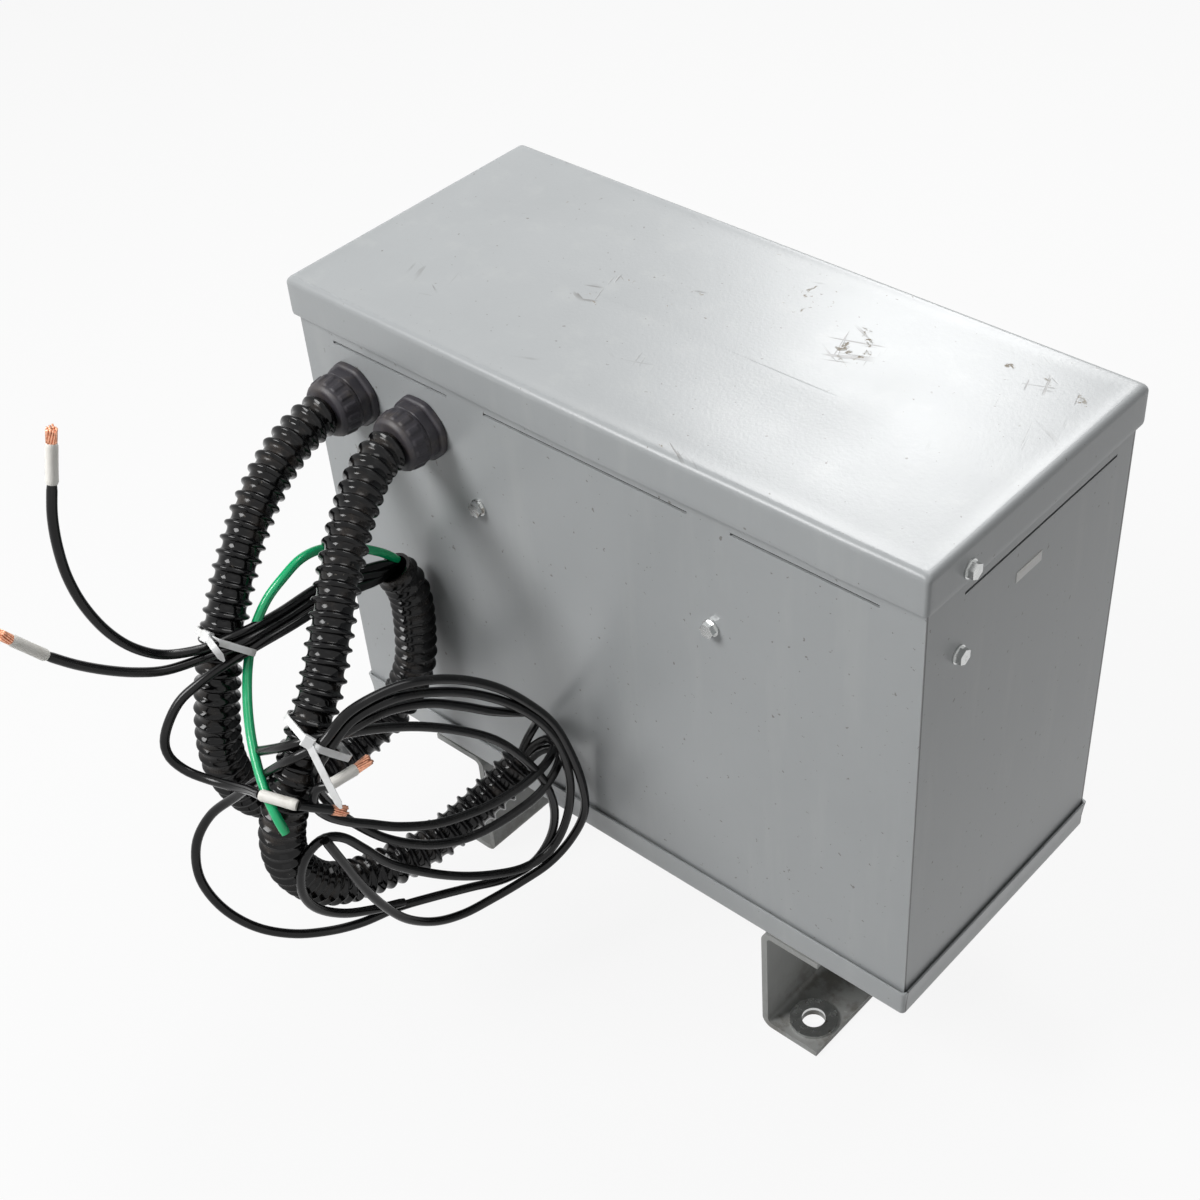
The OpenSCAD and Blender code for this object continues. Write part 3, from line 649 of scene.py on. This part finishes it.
def grey_paint():
    """Satin grey enamel: faint mottling and orange peel, dust specks, a dark seam at the corners of the
    walls, and on the lid's top scratches and chips that show brown primer."""
    material, tree, shader, place = new_material("grey_paint", 0.36)
    axes = tree.node("ShaderNodeSeparateXYZ", {0: place})
    normal = tree.node("ShaderNodeSeparateXYZ", {0: tree.node("ShaderNodeNewGeometry").outputs["Normal"]})
    up = tree.ramp(normal.outputs["Z"], 0.6, 0.9)
    tone = tree.noise(place, 9, 5, 0.6)
    colour = tree.mix(tone, (0.335, 0.350, 0.356, 1), (0.385, 0.400, 0.407, 1))
    # faint vertical wipe marks on the walls
    wiped = tree.noise(tree.mapped(place, (22, 22, 3)), 2.2, 4, 0.6)
    wiped = tree.math("MULTIPLY", tree.ramp(wiped, 0.50, 0.75), 0.30)
    colour = tree.mix(wiped, colour, (0.43, 0.445, 0.44, 1))
    # scratches on the top: thin streaks in three directions, thickest round the worn places
    worn = 0.0
    for x, y, size in worn_places:
        gap = tree.node("ShaderNodeVectorMath", {0: place, 1: (x, y, top_level)}, operation="DISTANCE")
        near = tree.ramp(tree.math("SUBTRACT", size, gap.outputs["Value"]), 0.0, size)
        worn = tree.math("MAXIMUM", near, worn)
    streaks = 0.0
    for turn, scale in ((0.5, 1.0), (1.25, 1.3), (-0.35, 0.9)):
        turned_place = tree.node("ShaderNodeMapping", {"Vector": place, "Rotation": (0, 0, turn)})
        drawn_out = tree.mapped(turned_place.outputs[0], (14 * scale, 260 * scale, 1))
        streak = tree.noise(drawn_out, 1.0, 2, 0.4, 0.3)
        streaks = tree.math("MAXIMUM", streaks, tree.ramp(streak, 0.655, 0.685))
    near_wear = tree.math("ADD", tree.noise(place, 11, 3), tree.math("MULTIPLY", worn, 0.32))
    patchy = tree.ramp(near_wear, 0.62, 0.74)
    scratches = tree.math("MULTIPLY", tree.math("MULTIPLY", streaks, patchy), up)
    colour = tree.mix(tree.math("MULTIPLY", scratches, 0.7), colour, (0.13, 0.125, 0.115, 1))
    # dirt specks everywhere
    specks = tree.ramp(tree.noise(place, 260, 2, 0.5), 0.715, 0.75)
    colour = tree.mix(tree.math("MULTIPLY", specks, 0.6), colour, (0.10, 0.085, 0.065, 1))
    # chips in the paint, with brown primer, at the worn places
    grain = tree.noise(place, 120, 4, 0.65, 0.8)
    chips = tree.ramp(tree.math("ADD", grain, tree.math("MULTIPLY", worn, 0.17)), 0.735, 0.755)
    chips = tree.math("MULTIPLY", chips, up)
    bare = tree.ramp(tree.noise(place, 300, 3), 0.4, 0.6)
    primer = tree.mix(bare, (0.20, 0.16, 0.11, 1), (0.34, 0.33, 0.30, 1))
    colour = tree.mix(tree.math("MULTIPLY", chips, 0.85), colour, primer)
    # dark seam where two walls meet
    across = tree.math("ABSOLUTE", axes.outputs["Y"])
    seam = tree.math("MULTIPLY", tree.ramp(across, 0.1076, 0.1083),
                     tree.math("SUBTRACT", 1.0, tree.ramp(across, 0.1090, 0.1097)))
    seam = tree.math("MULTIPLY", seam, tree.ramp(tree.math("ABSOLUTE", axes.outputs["X"]), 0.2543, 0.2548))
    seam = tree.math("MULTIPLY", seam, tree.math("SUBTRACT", 1.0, tree.ramp(axes.outputs["Z"], 0.456, 0.457)))
    colour = tree.mix(tree.math("MULTIPLY", seam, 0.85), colour, (0.03, 0.03, 0.03, 1))
    connect(tree, colour, shader, "Base Color")
    peel = tree.noise(place, 420, 3, 0.5)
    height = tree.math("SUBTRACT", peel, tree.math("ADD", tree.math("MULTIPLY", scratches, 1.2), chips))
    connect(tree, tree.bump(height, 0.13, 0.0006), shader, "Normal")
    rough = tree.math("ADD", tree.math("MULTIPLY", tone, 0.12), 0.27)
    connect(tree, tree.math("ADD", rough, tree.math("MULTIPLY", chips, 0.4)), shader, "Roughness")
    return material


def foot_paint():
    """The same grey on thick plate, duller, with scuffs and dirt near the floor."""
    material, tree, shader, place = new_material("foot_paint", 0.5)
    height = tree.node("ShaderNodeSeparateXYZ", {0: place}).outputs["Z"]
    tone = tree.noise(place, 14, 5, 0.6)
    colour = tree.mix(tone, (0.27, 0.275, 0.265, 1), (0.37, 0.375, 0.365, 1))
    dirt = tree.math("MULTIPLY", tree.ramp(tree.math("SUBTRACT", 0.05, height), 0.0, 0.05),
                     tree.ramp(tree.noise(place, 60, 5, 0.65), 0.42, 0.62))
    colour = tree.mix(tree.math("MULTIPLY", dirt, 0.6), colour, (0.12, 0.105, 0.085, 1))
    chips = tree.ramp(tree.noise(place, 150, 3, 0.6), 0.70, 0.73)
    colour = tree.mix(tree.math("MULTIPLY", chips, 0.5), colour, (0.5, 0.5, 0.48, 1))
    connect(tree, colour, shader, "Base Color")
    connect(tree, tree.bump(tree.noise(place, 300, 3), 0.2, 0.0006), shader, "Normal")
    return material


def zinc():
    """Bright zinc plate, a little cloudy, with brown stains."""
    material, tree, shader, place = new_material("zinc", 0.3, metallic=1.0)
    cloud = tree.noise(place, 160, 4, 0.6)
    colour = tree.mix(cloud, (0.44, 0.45, 0.45, 1), (0.72, 0.73, 0.72, 1))
    stain = tree.ramp(tree.noise(place, 110, 4, 0.65), 0.60, 0.66)
    colour = tree.mix(tree.math("MULTIPLY", stain, 0.6), colour, (0.18, 0.14, 0.10, 1))
    connect(tree, colour, shader, "Base Color")
    connect(tree, tree.math("ADD", tree.math("MULTIPLY", cloud, 0.25), 0.12), shader, "Roughness")
    return material


def black_nylon():
    """Glossy black ridges; brownish dust lies in patches in the valleys. The bore is dark."""
    material, tree, shader, place = new_material("black_nylon", 0.2, specular=0.26)
    ridge = tree.node("ShaderNodeAttribute", attribute_name="ridge").outputs["Fac"]
    valley = tree.math("SUBTRACT", 1.0, tree.ramp(ridge, 0.0, 0.6))
    outside = tree.ramp(ridge, -0.5, -0.1)
    patch = tree.ramp(tree.noise(place, 38, 5, 0.65), 0.46, 0.70)
    grain = tree.ramp(tree.noise(place, 700, 3, 0.6), 0.35, 0.7)
    dust = tree.math("MULTIPLY", tree.math("MULTIPLY", valley, patch), outside)
    dust = tree.math("MULTIPLY", dust, tree.math("ADD", tree.math("MULTIPLY", grain, 0.5), 0.5))
    colour = tree.mix(tree.math("MULTIPLY", dust, 0.62), (0.004, 0.004, 0.0045, 1), (0.066, 0.052, 0.042, 1))
    specks = tree.math("MULTIPLY", tree.ramp(tree.noise(place, 330, 2), 0.70, 0.74), outside)
    colour = tree.mix(tree.math("MULTIPLY", specks, 0.4), colour, (0.20, 0.18, 0.15, 1))
    connect(tree, colour, shader, "Base Color")
    connect(tree, tree.math("ADD", tree.math("MULTIPLY", dust, 0.35), 0.11), shader, "Roughness")
    return material


def dark_nylon():
    """Dull dark nylon with a purple cast and a film of brown dust."""
    material, tree, shader, place = new_material("dark_nylon", 0.5)
    dust = tree.ramp(tree.noise(place, 70, 5, 0.7), 0.45, 0.72)
    colour = tree.mix(tree.math("MULTIPLY", dust, 0.55), (0.034, 0.031, 0.038, 1), (0.085, 0.070, 0.058, 1))
    connect(tree, colour, shader, "Base Color")
    connect(tree, tree.bump(tree.noise(place, 500, 3), 0.15, 0.0004), shader, "Normal")
    return material


def plastic(name, colour, worn, roughness, specular=0.5):
    """Plain coloured plastic with light soiling."""
    material, tree, shader, place = new_material(name, roughness, specular=specular)
    soil = tree.ramp(tree.noise(place, 60, 4, 0.65), 0.45, 0.75)
    connect(tree, tree.mix(soil, (*colour, 1), (*worn, 1)), shader, "Base Color")
    return material


def copper_finish():
    """Copper strands, bright with darker tarnish."""
    material, tree, shader, place = new_material("copper", 0.38, metallic=0.85)
    tarnish = tree.ramp(tree.noise(place, 420, 3), 0.4, 0.7)
    connect(tree, tree.mix(tarnish, (0.90, 0.46, 0.30, 1), (0.50, 0.22, 0.13, 1)), shader, "Base Color")
    return material


finishes = {
    "grey_paint": grey_paint(),
    "foot_paint": foot_paint(),
    "zinc": zinc(),
    "plate_white": plastic("plate_white", (0.90, 0.90, 0.88), (0.80, 0.79, 0.76), 0.5),
    "core_steel": plastic("core_steel", (0.05, 0.05, 0.05), (0.07, 0.07, 0.07), 0.8),
    "dark_nylon": dark_nylon(),
    "black_nylon": black_nylon(),
    "black_pvc": plastic("black_pvc", (0.005, 0.005, 0.0055), (0.014, 0.0135, 0.013), 0.2, specular=0.28),
    "green_pvc": plastic("green_pvc", (0.004, 0.45, 0.165), (0.010, 0.50, 0.20), 0.2),
    "white_sleeve": plastic("white_sleeve", (0.88, 0.86, 0.81), (0.76, 0.73, 0.67), 0.5),
    "copper": copper_finish(),
    "tie_nylon": plastic("tie_nylon", (0.86, 0.87, 0.87), (0.72, 0.72, 0.70), 0.35)}
slots = {part["node"]: part["material_slot"] for part in frame["record"]["subparts"]}
for name, node in nodes.items():
    node.data.materials.clear()
    node.data.materials.append(finishes[slots[name]])
for piece in scene.objects:
    if piece.type == "MESH" and "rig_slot" in piece:
        piece.data.materials.clear()
        piece.data.materials.append(finishes[piece["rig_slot"]])


# ---------------------------------------------------------------- floor and light
# A pale floor that the camera sees nearly white, a white surround, and four soft lamps.
def seen_directly(tree):
    """1 for camera, glossy and transmission rays."""
    path = tree.node("ShaderNodeLightPath")
    seen = tree.math("ADD", path.outputs["Is Camera Ray"], path.outputs["Is Glossy Ray"], True)
    return tree.math("ADD", seen, path.outputs["Is Transmission Ray"], True)


floor_material = bpy.data.materials.new("floor")
floor_material.use_nodes = True
tree = Tree(floor_material.node_tree)
floor_material.node_tree.nodes.clear()
diffuse = tree.node("ShaderNodeBsdfDiffuse", {"Color": (0.62, 0.62, 0.62, 1)})
glow = tree.node("ShaderNodeEmission", {"Color": (1, 1, 1, 1), "Strength": 1.0})
mixed = tree.node("ShaderNodeMixShader", {0: tree.math("MULTIPLY", seen_directly(tree), 0.90)})
tree.tree.links.new(diffuse.outputs[0], mixed.inputs[1])
tree.tree.links.new(glow.outputs[0], mixed.inputs[2])
output = tree.node("ShaderNodeOutputMaterial")
tree.tree.links.new(mixed.outputs[0], output.inputs[0])
half_floor = 4.0
floor_level = -0.0002
floor_mesh = bpy.data.meshes.new("floor")
floor_mesh.from_pydata([(x * half_floor, y * half_floor, floor_level)
                        for x, y in ((-1, -1), (1, -1), (1, 1), (-1, 1))], [], [(0, 1, 2, 3)])
floor = bpy.data.objects.new("floor", floor_mesh)
scene.collection.objects.link(floor)
floor_mesh.materials.append(floor_material)

world = bpy.data.worlds.new("surround")
scene.world = world
world.use_nodes = True
tree = Tree(world.node_tree)
background = world.node_tree.nodes["Background"]
level = tree.math("ADD", tree.math("MULTIPLY", seen_directly(tree), 0.86), 0.14)
world.node_tree.links.new(level, background.inputs["Strength"])
background.inputs["Color"].default_value = (1, 1, 1, 1)


def lamp(name, place, aim, size, power):
    """Square soft lamp that points at a place on the object."""
    light = bpy.data.lights.new(name, "AREA")
    light.size = size
    light.energy = power
    lamp_object = bpy.data.objects.new(name, light)
    scene.collection.objects.link(lamp_object)
    lamp_object.location = place
    lamp_object.rotation_euler = (Vector(aim) - Vector(place)).to_track_quat("-Z", "Y").to_euler()


lamp("key", (-0.9, -1.5, 1.9), (0, 0, 0.25), 1.0, 46)
lamp("glare", (-0.70, 1.30, 1.60), (0.16, 0.0, 0.48), 0.45, 12)
lamp("top", (0.1, 0.9, 2.0), (0, 0, 0.45), 1.0, 13)
lamp("fill", (1.6, -1.6, 1.2), (0, 0, 0.25), 1.4, 1.5)

scene.view_settings.view_transform = "Standard"
